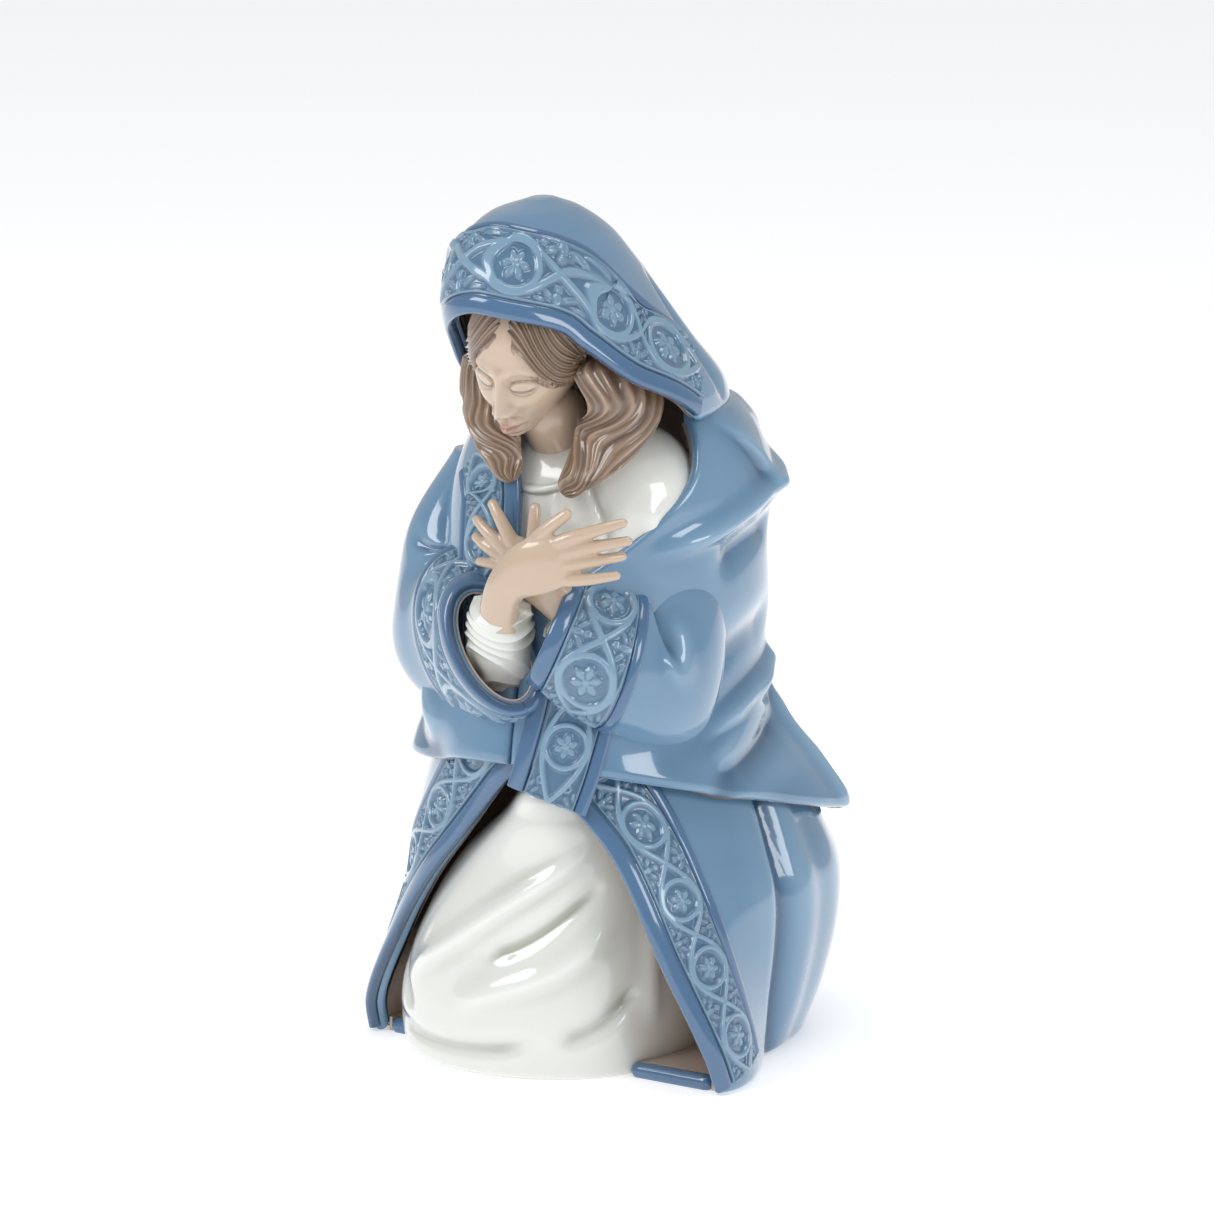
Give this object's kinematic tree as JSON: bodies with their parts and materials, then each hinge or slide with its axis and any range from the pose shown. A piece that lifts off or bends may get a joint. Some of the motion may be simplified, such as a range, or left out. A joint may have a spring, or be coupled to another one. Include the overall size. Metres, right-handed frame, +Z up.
{
  "type": "madonna statue",
  "caption": "Glazed porcelain devotional figure of a kneeling woman in a hooded blue mantle over a white dress, hands crossed at the chest",
  "frame": {"origin": "middle of the outer box in plan, on the surface that the statue stands on", "axes": "+Z up, the figure faces -Y, her left side is +X"},
  "size_m": [0.0922, 0.1122, 0.1806],
  "materials": {
    "mantle_blue": "high gloss glaze, grey blue",
    "relief_blue": "high gloss glaze, pooled darker in the recesses of the embossing",
    "hem_blue": "high gloss glaze, darker blue",
    "dress_white": "high gloss glaze, white with a faint green tint",
    "skin": "soft gloss glaze, warm beige",
    "hair": "soft gloss glaze, beige brown",
    "lining": "gloss glaze, brown beige"
  },
  "bodies": {
    "root": {"base_plate": "lining", "chest_band": "relief_blue", "chest_hem": "hem_blue", "chest_trim": "hem_blue", "cuff_left": "dress_white", "cuff_right": "dress_white", "dress_bodice": "dress_white", "dress_skirt": "dress_white", "floor_hem_left": "hem_blue", "floor_hem_right": "hem_blue", "hair_crown": "hair", "hair_lock_left": "hair", "hair_lock_right": "hair", "hand_left": "skin", "hand_right": "skin", "head": "skin", "hood": "mantle_blue", "hood_band": "relief_blue", "hood_hem": "hem_blue", "hood_trim": "hem_blue", "mantle_cape": "mantle_blue", "mantle_skirt": "mantle_blue", "neckline_hem": "dress_white", "opening_band_left": "relief_blue", "opening_band_right": "relief_blue", "opening_hem_left": "hem_blue", "opening_hem_right": "hem_blue", "opening_trim_left": "hem_blue", "opening_trim_right": "hem_blue", "sleeve_band_left": "relief_blue", "sleeve_band_right": "relief_blue", "sleeve_hem_left": "hem_blue", "sleeve_hem_right": "hem_blue", "sleeve_left": "mantle_blue", "sleeve_right": "mantle_blue", "sleeve_trim_left": "hem_blue", "sleeve_trim_right": "hem_blue"}
  },
  "joints": []
}
